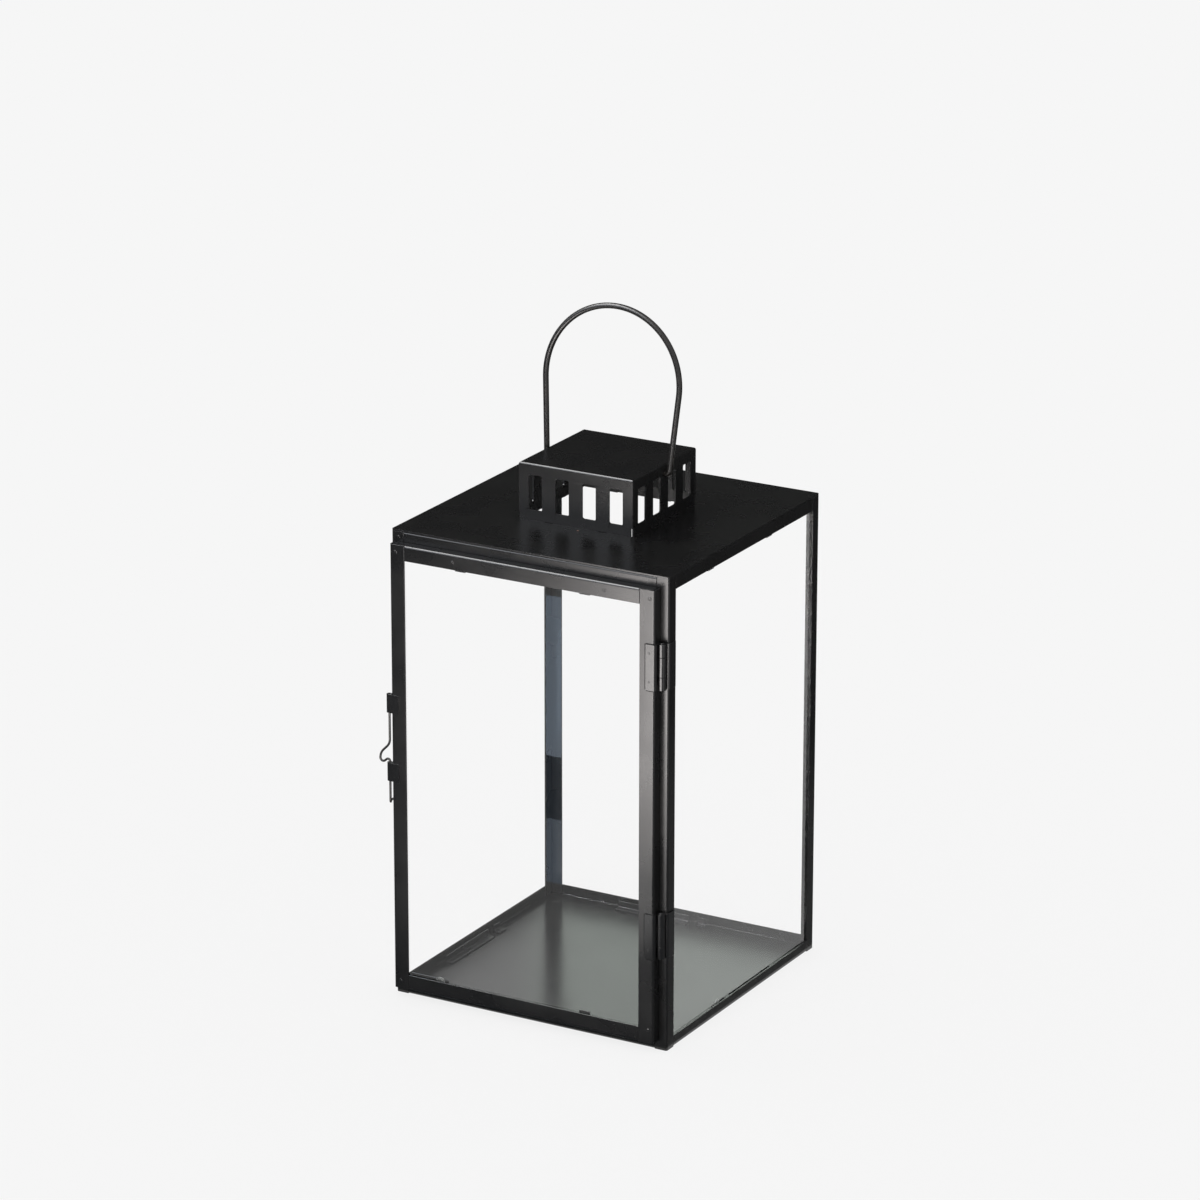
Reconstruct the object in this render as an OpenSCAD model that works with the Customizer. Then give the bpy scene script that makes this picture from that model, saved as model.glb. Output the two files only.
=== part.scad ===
// Candle lantern in black sheet steel. A square cage of corner angles stands on a shallow
// tray and carries a flat roof. Three panes fill its sides and its back, and the fourth is
// in a hinged door at the front. A wire latch turns in two curled straps on the door. A
// slotted vent box sits on the roof and carries a wire bail.
// Lengths are in millimetres. +Z is up, the door faces -Y and its hinges are at +X.
// The origin is the centre of the tray's underside.

/* [Cage] */
// Width of the cage from side to side
body_w = 160; // [140:1:190]
// Depth of the cage from front to back, without the door
body_d = 160; // [140:1:190]
// Height of the roof's top face above the underside
body_h = 252; // [220:1:300]
// Thickness of the sheet steel
sheet_t = 0.8; // [0.6:0.05:1]
// Inside radius of every fold in the sheet
bend_r = 0.4; // [0.3:0.05:0.6]
// Width of each leg of the corner posts
post_leg = 7; // [7:0.5:11]
// Height of the tray's upturned rims
rim_h = 6; // [5:0.5:12]
// Height of the top rails below the roof
fascia_h = 7; // [5:0.5:10]
// Width of the inward legs of the top rails
rail_leg = 8; // [8:0.5:12]
// Open joint line between two pieces of sheet that butt
seam = 0.15; // [0.1:0.05:0.3]

/* [Glass] */
// Thickness of the panes
glass_t = 2; // [1.8:0.1:2.5]
// Gap between a pane's edges and the sheet that it sits in
glass_gap = 0.2; // [0.15:0.05:0.3]
// Length of the long retaining clips
clip_long = 43; // [30:1:50]
// Length of the short retaining clips
clip_short = 6; // [4:0.5:8]
// Width of a clip's foot
clip_foot = 4.5; // [3:0.25:4.75]
// Height of the lips of the clips that stand on the tray's floor
clip_lip = 4; // [3:0.25:5]
// Length of the lips of the clips that hang from the top rails
clip_hang = 8.8; // [7:0.1:10]
// Distance of the long clips from the middle of a pane
clip_long_at = 14.5; // [10:0.5:20]
// Distance of the short clips from the middle of a pane, on the other side
clip_short_at = 16; // [12:0.5:30]
// Distance of the top clips from the middle of a pane
clip_top_at = 31; // [20:1:45]

/* [Door] */
// How far the door's face stands in front of the cage
door_proud = 6; // [5:0.25:8]
// Gap between the shut door and the cage
door_gap = 0.3; // [0.2:0.05:0.5]
// Distance from the cage's left side to the door's left edge
door_left_in = 2.4; // [2:0.1:4]
// Distance from the cage's right side to the door's right edge
door_right_in = 4.8; // [4.6:0.1:6]
// Height of the door's bottom edge above the underside
door_foot = 5; // [4:0.25:6]
// Distance from the roof's top face down to the door's top edge
door_head = 6; // [4:0.25:7]
// Width of the door's stiles
stile_w = 8.5; // [7:0.5:11]
// Width of the door's top and bottom rails
door_rail_w = 8; // [7:0.5:11]
// How far the lips of the door's bottom clips show past the rail
door_clip_low = 0.5; // [0.2:0.1:1.5]
// How far the lips of the door's top clips show past the rail
door_clip_high = 1.6; // [0.8:0.1:2]
// Length of the door's long retaining clip
door_clip_long = 22; // [15:1:30]
// Distance of the door's upper left clip from the left stile
door_clip_left_at = 31; // [15:1:45]
// Distance of the door's two right clips from the right stile
door_clip_right_at = 33; // [15:1:50]

/* [Hinges] */
// Height of each hinge
hinge_h = 24; // [18:1:30]
// Distance from the door's bottom edge to the middle of the lower hinge
hinge_low = 58; // [35:1:70]
// Distance from the door's top edge to the middle of the upper hinge
hinge_high = 40; // [30:1:60]
// Diameter of the hinge pins
pin_d = 2.5; // [2:0.1:2.6]
// Thickness of the hinge leaves and the latch straps
leaf_t = 0.8; // [0.6:0.05:0.9]
// Width of the door leaf on the door's face
door_leaf = 5.5; // [4.5:0.25:7]
// Width of the frame leaf on the cage's right side
frame_leaf = 6.5; // [5:0.5:7]
// Height of the middle knuckle
knuckle_h = 10; // [7:0.5:12]
// Gap between two knuckles, and between a knuckle and what turns past it
knuckle_gap = 0.3; // [0.2:0.05:0.4]
// How far each end of a pin stands out of its knuckles
pin_show = 0.5; // [0.3:0.1:1]

/* [Latch] */
// Diameter of the latch wire
latch_d = 1.2; // [1:0.05:1.4]
// Distance from the door's top edge to the middle of the upper strap
latch_high = 85.5; // [70:0.5:100]
// Distance between the middles of the two straps
latch_pitch = 37; // [34:0.2:45]
// Height of each strap
strap_h = 10; // [7:0.5:12]
// Reach of each strap over the door's stile, from the wire's centre
strap_reach = 6.25; // [5:0.25:8]
// Angle at which the finger loop leans out from the wire
loop_lean = 45; // [42:1:50]
// Bend radius where the loop leaves the wire
loop_r_out = 6; // [4:0.25:7]
// Straight run on the slope of the loop
loop_run = 3; // [2:0.25:5]
// Bend radius of the loop's outer side
loop_r_side = 6.5; // [5:0.25:8]
// Bend radius of the loop's foot
loop_r_foot = 1.6; // [1.4:0.05:1.8]
// Length of the wire below the lower strap
tail_drop = 10.6; // [8:0.2:16]
// Length of the wire's turned-in tip beside the post
tip_run = 5; // [2:0.25:6]

/* [Vent box] */
// Width and depth of the vent box
vent_w = 66; // [56:1:80]
// Height of the vent box above the roof
vent_h = 30; // [26:0.5:40]
// Number of slots in each wall, an even number so that a bar carries the bail
slot_n = 4; // [2:2:4]
// Width of a slot
slot_w = 7.8; // [5:0.2:9]
// Height of a slot
slot_h = 18.6; // [12:0.2:18.8]
// Height of the slots' lower ends above the roof
slot_foot = 5.4; // [4:0.1:5.6]
// Distance from the box's corner to the nearest slot
slot_margin = 5.7; // [4:0.05:8]
// Radius of the slots' corners
slot_r = 1; // [0.5:0.1:2]
// Width of the ledge of roof that the box's walls stand on
ledge_w = 1; // [0.9:0.1:3]
// Width of the tabs that hold the box to the roof
tab_w = 5; // [3:0.5:6]
// Length of those tabs, under the roof
tab_len = 4.5; // [3:0.5:6]
// Height of the open notch at the foot of each corner
notch_h = 4.5; // [2:0.25:5]

/* [Bail] */
// Diameter of the bail's wire
bail_d = 3; // [2.4:0.1:3.4]
// Radius of the bail's arch, to the wire's centre
bail_r = 38.75; // [36:0.25:44]
// Height of the arch above the pivots, to the wire's centre
bail_h = 81.5; // [65:0.5:95]
// Distance from the top of the vent box down to the pivots
pivot_drop = 5.2; // [4.6:0.1:5.4]
// Gap between the box's wall and the start of the bend at a pivot
bail_gap = 0.8; // [0.4:0.1:1.5]
// Bend radius at the pivots, to the wire's centre
bail_bend = 2; // [1.8:0.1:3]
// Angle at which the bail stands at rest, leaning to the back
bail_lean = 6; // [0:1:12]
// Thickness of the heads on the bail's ends, inside the box
bail_head_t = 0.8; // [0.6:0.1:1]
// How far a head stands out all round the wire
bail_head_out = 0.6; // [0.4:0.1:0.8]

/* [Hidden] */

$fn = 48;
// Overshoot of a cut past the face that it opens
over = 1;
// Radial clearance of a pin or wire in its bore
run_gap = 0.05;
// Clearance of a tab in its slit
slit_gap = 0.1;
// Gap between a clip and its pane
clip_gap = 0.1;
// Gap between two pieces that pass or face each other without touching
side_gap = 0.05;
// Gap between the latch wire and the post, and above the lower strap
wire_gap = 0.3;
// Half the width of the joint between two pieces of a wire's chain
joint_gap = 0.02;

// The four sides, counted counter-clockwise seen from above
FRONT = 0;
RIGHT = 1;
BACK = 2;
LEFT = 3;

half_w = body_w / 2;
half_d = body_d / 2;
// Outside radius of the folds
fold_r = bend_r + sheet_t;
// Underside of the roof
roof_z = body_h - sheet_t;
// Distance from the cage's outer face to a pane's outer and inner faces
pane_out = sheet_t + glass_gap;
pane_in = pane_out + glass_t;
// Length of the tray's floor that each rim's section takes in
rim_root = 4.2;

// The door's edges
door_x0 = -half_w + door_left_in;
door_x1 = half_w - door_right_in;
door_y = -half_d - door_proud;
door_z0 = door_foot;
door_z1 = body_h - door_head;
door_depth = door_proud - door_gap;
door_mid_x = (door_x0 + door_x1) / 2;
door_w = door_x1 - door_x0;
// Foot of a clip in the door, which ends at the edge of the door's flange
door_clip_foot = door_depth - pane_in - clip_gap - side_gap;
// Middles of the door's clips
door_clip_left = door_x0 + stile_w + door_clip_long / 2;
door_clip_right = door_x1 - stile_w - door_clip_right_at;
door_clip_top = door_x0 + stile_w + door_clip_left_at;

// The hinge axis
knuckle_r = pin_d / 2 + run_gap + leaf_t;
hinge_x = door_x1 + knuckle_gap + knuckle_r;
hinge_y = -half_d - knuckle_gap - knuckle_r;
hinge_z_low = door_z0 + hinge_low;
hinge_z_high = door_z1 - hinge_high;
// Height of the end knuckles, and their middles from the hinge's middle
end_h = (hinge_h - knuckle_h) / 2 - knuckle_gap;
end_z = (hinge_h - end_h) / 2;

// The latch wire's axis
latch_r = latch_d / 2;
curl_r = latch_r + run_gap + leaf_t;
latch_x = door_x0 - side_gap - curl_r;
latch_y = door_y - leaf_t + curl_r;
strap_z_high = door_z1 - latch_high;
strap_z_low = strap_z_high - latch_pitch;
// Angle through which the loop's foot turns back to the wire
loop_turn = 130;
loop_back = loop_r_foot;
loop_out = (loop_r_out + loop_r_side) * (1 - cos(loop_lean)) + loop_run * sin(loop_lean);
loop_r_end = (loop_out - loop_r_foot * (1 - cos(loop_turn)) - loop_back * sin(loop_turn))
             / (1 - cos(loop_turn));
loop_drop = (loop_r_out + loop_r_side) * sin(loop_lean) + loop_run * cos(loop_lean)
            + (loop_r_foot + loop_r_end) * sin(loop_turn) + loop_back * cos(loop_turn);
// The tip leans out far enough to pass the post's corner, then runs along its side
tip_bend = 1.6;
tip_out = half_w + wire_gap + latch_r + latch_x;
tip_lean = 28;
tip_slope = (tip_out - tip_bend * (1 - cos(tip_lean))) / sin(tip_lean) - tip_bend;

// The vent box
vent_half = vent_w / 2;
vent_top = body_h + vent_h;
slot_pitch = (vent_w - 2 * slot_margin - slot_w) / (slot_n - 1);
slot_z = body_h + slot_foot + slot_h / 2;
roof_hole = vent_w - 2 * ledge_w;
// Clear bar between the middle slots and the next ones, where the tabs are
tab_at = slot_pitch;
notch_w = sheet_t + seam;

// The bail: both legs are tangent to the arch and to the bends at the pivots
pivot_z = vent_top - pivot_drop;
bail_wr = bail_d / 2;
bail_foot_x = vent_half + bail_gap;
bail_arch_z = bail_h - bail_r;
bail_span = sqrt(pow(bail_foot_x, 2) + pow(bail_arch_z - bail_bend, 2));
bail_spread = asin((bail_r - bail_bend) / bail_span) - atan2(bail_foot_x, bail_arch_z - bail_bend);
bail_leg = sqrt(pow(bail_span, 2) - pow(bail_r - bail_bend, 2));
bail_head_r = bail_wr + bail_head_out;
// Distance from the middle to a head's inner face
bail_in_x = vent_half - sheet_t - knuckle_gap - bail_head_t;

black_paint = "#1c1c1d";
black_wire = "#2a2826";
hinge_paint = "#262627";
clear_glass = [0.80, 0.90, 0.87, 0.30];

// ---- Shapes that repeat ----

// Section of folded sheet: a corner at the origin, one leg along +X and one along +Y
module fold_section(leg_x, leg_y, t) {
    r = bend_r + t;
    translate([r, 0]) square([leg_x - r, t]);
    translate([0, r]) square([t, leg_y - r]);
    translate([r, r]) intersection() {
        difference() {
            circle(r);
            circle(bend_r);
        }
        translate([-r, -r]) square(r);
    }
}

// Bar of folded sheet along X: its outer face is at y = 0, one leg stands up from z = 0
// and the other lies along the floor, inwards
module folded_bar(len, leg_in, leg_up) {
    rotate([90, 0, 90])
        translate([0, 0, -len / 2])
            linear_extrude(len) fold_section(leg_in, leg_up, sheet_t);
}

// The same bar hanging from z = 0
module hanging_bar(len, leg_in, leg_down) {
    mirror([0, 0, 1]) folded_bar(len, leg_in, leg_down);
}

module rounded_rect(w, h, r) {
    square([w - 2 * r, h], center = true);
    square([w, h - 2 * r], center = true);
    for (x = [-1, 1], y = [-1, 1])
        translate([x * (w / 2 - r), y * (h / 2 - r)]) circle(r);
}

// Puts a shape that was drawn on the front side on side i of the cage
module on_side(i) {
    rotate([0, 0, 90 * i])
        translate([0, i % 2 == 0 ? -half_d : -half_w, 0]) children();
}

function side_len(i) = i % 2 == 0 ? body_w : body_d;
function side_clear(i) = side_len(i) - 2 * (post_leg + seam);

// Round wire is drawn as a chain: each piece starts where the one before it ends,
// and heads along its own +Z. A hair-thin band closes the joint between two pieces.
module wire_joint(r) {
    translate([0, 0, -2 * joint_gap]) cylinder(r = r + joint_gap, h = 4 * joint_gap);
}

module wire_run(r, len) {
    translate([0, 0, joint_gap]) cylinder(r = r, h = len - 2 * joint_gap);
    if ($children > 0)
        translate([0, 0, len]) {
            wire_joint(r);
            children();
        }
}

// Bend through an angle, towards +X once the frame is rolled about the wire
module wire_bend(r, bend, angle, roll = 0) {
    trim = joint_gap / bend * 180 / PI;
    rotate([0, 0, roll]) {
        translate([bend, 0, 0])
            rotate([90, 0, 180])
                rotate([0, 0, trim])
                    rotate_extrude(angle = angle - 2 * trim) translate([bend, 0]) circle(r);
        translate([bend * (1 - cos(angle)), 0, bend * sin(angle)])
            if ($children > 0)
                rotate([0, angle, 0]) {
                    wire_joint(r);
                    children();
                }
    }
}

// ---- Cage ----

module tray() {
    color(black_paint) {
        translate([-half_w + fold_r, -half_d + fold_r, 0])
            cube([body_w - 2 * fold_r, body_d - 2 * fold_r, sheet_t]);
        for (i = [FRONT : LEFT])
            on_side(i) folded_bar(side_clear(i), rim_root, rim_h);
    }
}

module post(right, back) {
    color(black_paint)
        mirror([right ? 1 : 0, 0, 0])
            mirror([0, back ? 1 : 0, 0])
                translate([-half_w, -half_d, 0])
                    linear_extrude(roof_z) fold_section(post_leg, post_leg, sheet_t);
}

module top_rail(i) {
    color(black_paint)
        on_side(i) translate([0, 0, roof_z]) hanging_bar(side_clear(i), rail_leg, fascia_h);
}

// Slits at the edge of the roof's hole for the vent box's tabs, with room for their bends
module tab_slits() {
    slit_out = vent_half + bend_r + side_gap;
    slit_d = slit_out - roof_hole / 2 + over;
    for (i = [FRONT : LEFT], x = [-tab_at, tab_at])
        rotate([0, 0, 90 * i])
            translate([x, slit_d / 2 - slit_out])
                square([tab_w + 2 * slit_gap, slit_d], center = true);
}

module roof_plate() {
    color(black_paint)
        translate([0, 0, roof_z])
            linear_extrude(sheet_t) difference() {
                rounded_rect(body_w, body_d, fold_r);
                square(roof_hole, center = true);
                tab_slits();
            }
}

// ---- Vent box ----

// Wall-to-wall outline of a box that is open below, with its upper corners folded
module hood_outline(w, h, r) {
    translate([-w / 2, 0]) square([w, h - r]);
    translate([-w / 2 + r, 0]) square([w - 2 * r, h]);
    for (x = [-1, 1])
        translate([x * (w / 2 - r), h - r]) circle(r);
}

module hood(w, h, r) {
    intersection() {
        rotate([90, 0, 0]) linear_extrude(w, center = true) hood_outline(w, h, r);
        rotate([90, 0, 90]) linear_extrude(w, center = true) hood_outline(w, h, r);
    }
}

module vent_slots() {
    for (turn = [0, 90], k = [0 : slot_n - 1])
        rotate([0, 0, turn])
            translate([(k - (slot_n - 1) / 2) * slot_pitch, 0, slot_z])
                rotate([90, 0, 0])
                    linear_extrude(vent_w + 2 * over, center = true)
                        rounded_rect(slot_w, slot_h, slot_r);
}

// The box is folded from one blank, so its corners are open seams
module corner_seams() {
    for (x = [-1, 1], y = [-1, 1])
        mirror([x < 0 ? 1 : 0, 0, 0]) mirror([0, y < 0 ? 1 : 0, 0]) {
            translate([vent_half - fold_r, vent_half - sheet_t - seam, body_h - over])
                cube([fold_r + over, seam, vent_h - fold_r + over]);
            translate([vent_half - notch_w, vent_half - notch_w, body_h - over])
                cube([notch_w + over, notch_w + over, notch_h + over]);
        }
}

module pivot_bores() {
    translate([0, 0, pivot_z])
        rotate([0, 90, 0])
            cylinder(r = bail_wr + run_gap, h = vent_w + 2 * over, center = true);
}

// Tabs that pass through the roof and are bent out under it
module vent_tabs() {
    for (i = [FRONT : LEFT], x = [-tab_at, tab_at])
        rotate([0, 0, 90 * i])
            translate([x, sheet_t - vent_half, roof_z - sheet_t])
                mirror([0, 1, 0])
                    folded_bar(tab_w, tab_len, 2 * sheet_t + over);
}

module vent_box() {
    color(black_paint) {
        difference() {
            translate([0, 0, body_h]) hood(vent_w, vent_h, fold_r);
            translate([0, 0, body_h - over])
                hood(vent_w - 2 * sheet_t, vent_h - sheet_t + over, bend_r);
            vent_slots();
            corner_seams();
            pivot_bores();
        }
        vent_tabs();
    }
}

// ---- Glass ----

// The side panes stop short of the back pane, which fills its whole side
module side_pane(i) {
    front_end = half_d - pane_out;
    back_end = half_d - pane_in - glass_gap;
    start = i == RIGHT ? -front_end : -back_end;
    color(clear_glass)
        on_side(i)
            translate([start, pane_out, sheet_t + glass_gap])
                cube([front_end + back_end, glass_t, roof_z - 2 * (sheet_t + glass_gap)]);
}

module back_pane() {
    color(clear_glass)
        on_side(BACK)
            translate([-half_w + pane_out, pane_out, sheet_t + glass_gap])
                cube([body_w - 2 * pane_out, glass_t, roof_z - 2 * (sheet_t + glass_gap)]);
}

// Clips of folded sheet: two stand on the tray's floor and two hang from the top rail
module pane_clips(i) {
    color(black_paint)
        on_side(i)
            translate([0, pane_in + clip_gap, 0]) {
                translate([clip_long_at, 0, sheet_t])
                    folded_bar(clip_long, clip_foot, clip_lip);
                translate([-clip_short_at, 0, sheet_t])
                    folded_bar(clip_short, clip_foot, clip_lip);
                for (x = [-clip_top_at, clip_top_at])
                    translate([x, 0, roof_z - sheet_t])
                        hanging_bar(clip_short, clip_foot, clip_hang);
            }
}

// ---- Door ----

module door_stile(right) {
    color(black_paint)
        translate([right ? door_x1 : door_x0, door_y, door_z0])
            mirror([right ? 1 : 0, 0, 0])
                linear_extrude(door_z1 - door_z0) fold_section(stile_w, door_depth, sheet_t);
}

// A rail's face fits between the stiles, and its flange runs on behind them
module door_rail() {
    color(black_paint) {
        folded_bar(door_w - 2 * (stile_w + seam), door_depth, door_rail_w);
        translate([-door_w / 2 + fold_r + seam, fold_r + seam, 0])
            cube([door_w - 2 * (fold_r + seam), door_depth - fold_r - seam, sheet_t]);
    }
}

module door_rail_bottom() {
    translate([door_mid_x, door_y, door_z0]) door_rail();
}

module door_rail_top() {
    translate([door_mid_x, door_y, door_z1]) mirror([0, 0, 1]) door_rail();
}

module door_glass() {
    color(clear_glass)
        translate([door_x0 + pane_out, door_y + pane_out, door_z0 + pane_out])
            cube([door_w - 2 * pane_out, glass_t, door_z1 - door_z0 - 2 * pane_out]);
}

module door_glass_clips() {
    low_lip = door_rail_w - sheet_t + door_clip_low;
    high_lip = door_rail_w - sheet_t + door_clip_high;
    color(black_paint)
        translate([0, door_y + pane_in + clip_gap, 0]) {
            translate([door_clip_left, 0, door_z0 + sheet_t])
                folded_bar(door_clip_long, door_clip_foot, low_lip);
            translate([door_clip_right, 0, door_z0 + sheet_t])
                folded_bar(clip_short, door_clip_foot, low_lip);
            for (x = [door_clip_top, door_clip_right])
                translate([x, 0, door_z1 - sheet_t])
                    hanging_bar(clip_short, door_clip_foot, high_lip);
        }
}

// ---- Hinges, drawn about the middle of their axis ----

module knuckle(h) {
    cylinder(r = knuckle_r, h = h, center = true);
}

module pin_bore() {
    cylinder(r = pin_d / 2 + run_gap, h = hinge_h + 2 * over, center = true);
}

// Room in a leaf for the other leaf's knuckle to turn
module knuckle_room(h) {
    cylinder(r = knuckle_r + knuckle_gap, h = h, center = true);
}

// The door leaf lies on the door's face, wraps its edge and carries the middle knuckle
module door_leaf_at(z) {
    color(hinge_paint)
        translate([hinge_x, hinge_y, z])
            difference() {
                union() {
                    difference() {
                        translate([door_x1 + leaf_t - hinge_x, door_y - leaf_t - hinge_y, 0])
                            mirror([1, 0, 0])
                                linear_extrude(hinge_h, center = true)
                                    fold_section(door_leaf, hinge_y - door_y + leaf_t, leaf_t);
                        for (side = [-1, 1])
                            translate([0, 0, side * (end_z + over / 2)])
                                knuckle_room(end_h + 2 * knuckle_gap + over);
                    }
                    knuckle(knuckle_h);
                }
                pin_bore();
            }
}

// The frame leaf carries the end knuckles, lies on the post's face and wraps its corner
module frame_leaf_at(z) {
    color(hinge_paint)
        translate([hinge_x, hinge_y, z])
            difference() {
                union() {
                    difference() {
                        translate([half_w + leaf_t - hinge_x, -half_d - leaf_t - hinge_y, 0])
                            mirror([1, 0, 0])
                                linear_extrude(hinge_h, center = true)
                                    fold_section(half_w + leaf_t - hinge_x, frame_leaf, leaf_t);
                        knuckle_room(knuckle_h + 2 * knuckle_gap);
                    }
                    for (side = [-1, 1])
                        translate([0, 0, side * end_z]) knuckle(end_h);
                }
                pin_bore();
            }
}

module hinge_pin_at(z) {
    chamfer = pin_show / 2;
    straight = hinge_h + 2 * (pin_show - chamfer);
    color(hinge_paint)
        translate([hinge_x, hinge_y, z]) {
            cylinder(d = pin_d, h = straight, center = true);
            for (side = [0, 1])
                mirror([0, 0, side])
                    translate([0, 0, straight / 2])
                        cylinder(d1 = pin_d, d2 = pin_d - 2 * chamfer, h = chamfer);
        }
}

// ---- Latch ----

// Strap on the door's face, with its end curled round the wire
module latch_strap(z) {
    color(hinge_paint)
        translate([latch_x, latch_y, z])
            linear_extrude(strap_h, center = true) difference() {
                union() {
                    translate([0, -curl_r]) square([strap_reach, leaf_t]);
                    circle(curl_r);
                }
                circle(latch_r + run_gap);
                translate([0, leaf_t - curl_r]) square([curl_r + over, seam]);
            }
}

// From its top end the wire runs down through the upper strap, makes the finger loop,
// passes the lower strap and turns in beside the post
module latch_wire() {
    top_z = strap_z_high + strap_h / 2 - wire_gap;
    loop_end_z = strap_z_low + strap_h / 2 + wire_gap;
    color(black_wire)
        translate([latch_x, latch_y, top_z])
            rotate([0, 180, 0])
                wire_run(latch_r, top_z - loop_end_z - loop_drop)
                wire_bend(latch_r, loop_r_out, loop_lean)
                wire_run(latch_r, loop_run)
                wire_bend(latch_r, loop_r_side, loop_lean, 180)
                wire_bend(latch_r, loop_r_foot, loop_turn)
                wire_run(latch_r, loop_back)
                wire_bend(latch_r, loop_r_end, loop_turn, 180)
                wire_run(latch_r, strap_h + wire_gap + tail_drop)
                wire_bend(latch_r, tip_bend, 90, 90 - tip_lean)
                wire_run(latch_r, tip_slope)
                wire_bend(latch_r, tip_bend, tip_lean, 90)
                wire_run(latch_r, tip_run);
}

// ---- Bail ----

module bail_handle() {
    stub = bail_foot_x - bail_in_x;
    color(black_wire)
        translate([0, 0, pivot_z])
            rotate([-bail_lean, 0, 0]) {
                translate([-bail_in_x, 0, 0])
                    rotate([0, -90, 0])
                        wire_run(bail_wr, stub)
                        wire_bend(bail_wr, bail_bend, 90 - bail_spread)
                        wire_run(bail_wr, bail_leg)
                        wire_bend(bail_wr, bail_r, 180 + 2 * bail_spread)
                        wire_run(bail_wr, bail_leg)
                        wire_bend(bail_wr, bail_bend, 90 - bail_spread)
                        wire_run(bail_wr, stub);
                for (side = [0, 1])
                    mirror([side, 0, 0])
                        translate([bail_in_x, 0, 0])
                            rotate([0, 90, 0]) cylinder(r = bail_head_r, h = bail_head_t);
            }
}

tray();
post(false, false);  // post_front_left
post(true, false);  // post_front_right
post(false, true);  // post_back_left
post(true, true);  // post_back_right
top_rail(FRONT);  // top_rail_front
top_rail(RIGHT);  // top_rail_right
top_rail(BACK);  // top_rail_back
top_rail(LEFT);  // top_rail_left
roof_plate();
vent_box();
side_pane(RIGHT);  // glass_right
back_pane();  // glass_back
side_pane(LEFT);  // glass_left
pane_clips(RIGHT);  // glass_clips_right
pane_clips(BACK);  // glass_clips_back
pane_clips(LEFT);  // glass_clips_left
frame_leaf_at(hinge_z_low);  // hinge_lower_frame_leaf
hinge_pin_at(hinge_z_low);  // hinge_lower_pin
frame_leaf_at(hinge_z_high);  // hinge_upper_frame_leaf
hinge_pin_at(hinge_z_high);  // hinge_upper_pin
door_stile(false);  // door_stile_latch
door_stile(true);  // door_stile_hinge
door_rail_bottom();
door_rail_top();
door_glass();
door_glass_clips();
door_leaf_at(hinge_z_low);  // hinge_lower_door_leaf
door_leaf_at(hinge_z_high);  // hinge_upper_door_leaf
latch_strap(strap_z_low);  // latch_strap_lower
latch_strap(strap_z_high);  // latch_strap_upper
latch_wire();
bail_handle();
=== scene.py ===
"""Looks of a candle lantern: folded black steel sheet, clear glass, small hinges and wire.

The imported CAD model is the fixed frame. This script gives its nodes their finishes and softened
edges, adds the small things that are drawn on no drawing, such as spot welds and dabs of glue,
and sets up the floor, the light and the camera. Lengths are in metres in the CAD frame unless a
name says mm: +Z is up, the door faces -Y and its hinges are at +X.
"""

from __future__ import annotations

import logging
import math
from dataclasses import dataclass
from enum import Enum

import bmesh
import bpy
from mathutils import Matrix, Vector

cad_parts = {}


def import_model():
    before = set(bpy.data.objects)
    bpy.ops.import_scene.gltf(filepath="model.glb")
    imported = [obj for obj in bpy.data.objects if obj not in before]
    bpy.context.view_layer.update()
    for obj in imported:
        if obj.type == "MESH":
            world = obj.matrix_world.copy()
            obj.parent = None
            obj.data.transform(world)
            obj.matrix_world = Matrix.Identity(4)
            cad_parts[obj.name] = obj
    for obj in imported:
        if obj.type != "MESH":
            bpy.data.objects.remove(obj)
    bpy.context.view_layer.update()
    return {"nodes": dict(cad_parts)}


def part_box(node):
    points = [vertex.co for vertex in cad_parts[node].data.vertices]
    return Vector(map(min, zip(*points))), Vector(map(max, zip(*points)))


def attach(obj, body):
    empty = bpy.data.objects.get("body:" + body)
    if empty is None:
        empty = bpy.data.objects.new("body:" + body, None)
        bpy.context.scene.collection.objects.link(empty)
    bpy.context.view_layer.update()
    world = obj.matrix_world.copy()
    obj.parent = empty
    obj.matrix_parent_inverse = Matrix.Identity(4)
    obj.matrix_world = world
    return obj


LOG = logging.getLogger("lantern")
MM = 0.001
LEFT, RIGHT = Vector((-1, 0, 0)), Vector((1, 0, 0))
FRONT, BACK = Vector((0, -1, 0)), Vector((0, 1, 0))
UP = Vector((0, 0, 1))
# Most values of a noise texture lie between these two
NOISE_SPAN = (0.3, 0.7)


# ---- Small helpers ----


def linear_rgba(hex_colour: str) -> tuple[float, float, float, float]:
    """Turn an sRGB hex colour to linear red, green, blue and an alpha of 1.

    Args:
        hex_colour: the colour as #rrggbb.

    Returns:
        The four channels as Blender's sockets take them.
    """
    channels = []
    for start in (1, 3, 5):
        value = int(hex_colour[start : start + 2], 16) / 255
        channels.append(value / 12.92 if value <= 0.04045 else ((value + 0.055) / 1.055) ** 2.4)
    return channels[0], channels[1], channels[2], 1.0


def texture_scale(spacing_mm: float) -> float:
    """Texture scale, per metre, of a pattern whose features are spacing_mm apart."""
    return 1 / (spacing_mm * MM)


def add_node(
    tree: bpy.types.NodeTree,
    kind: str,
    inputs: dict[str | int, object] | None = None,
    **settings: object,
) -> bpy.types.Node:
    """Add a shader node with its settings, values and links.

    Args:
        tree: the node tree that gets the node.
        kind: the node's type, without the ShaderNode that all of them start with.
        inputs: for an input's name or number, either the socket that feeds it or its value.
        settings: the node's own properties.

    Returns:
        The new node.
    """
    node = tree.nodes.new("ShaderNode" + kind)
    for name, value in settings.items():
        setattr(node, name, value)
    for key, value in (inputs or {}).items():
        if isinstance(value, bpy.types.NodeSocket):
            tree.links.new(value, node.inputs[key])
        else:
            node.inputs[key].default_value = value
    return node


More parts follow.
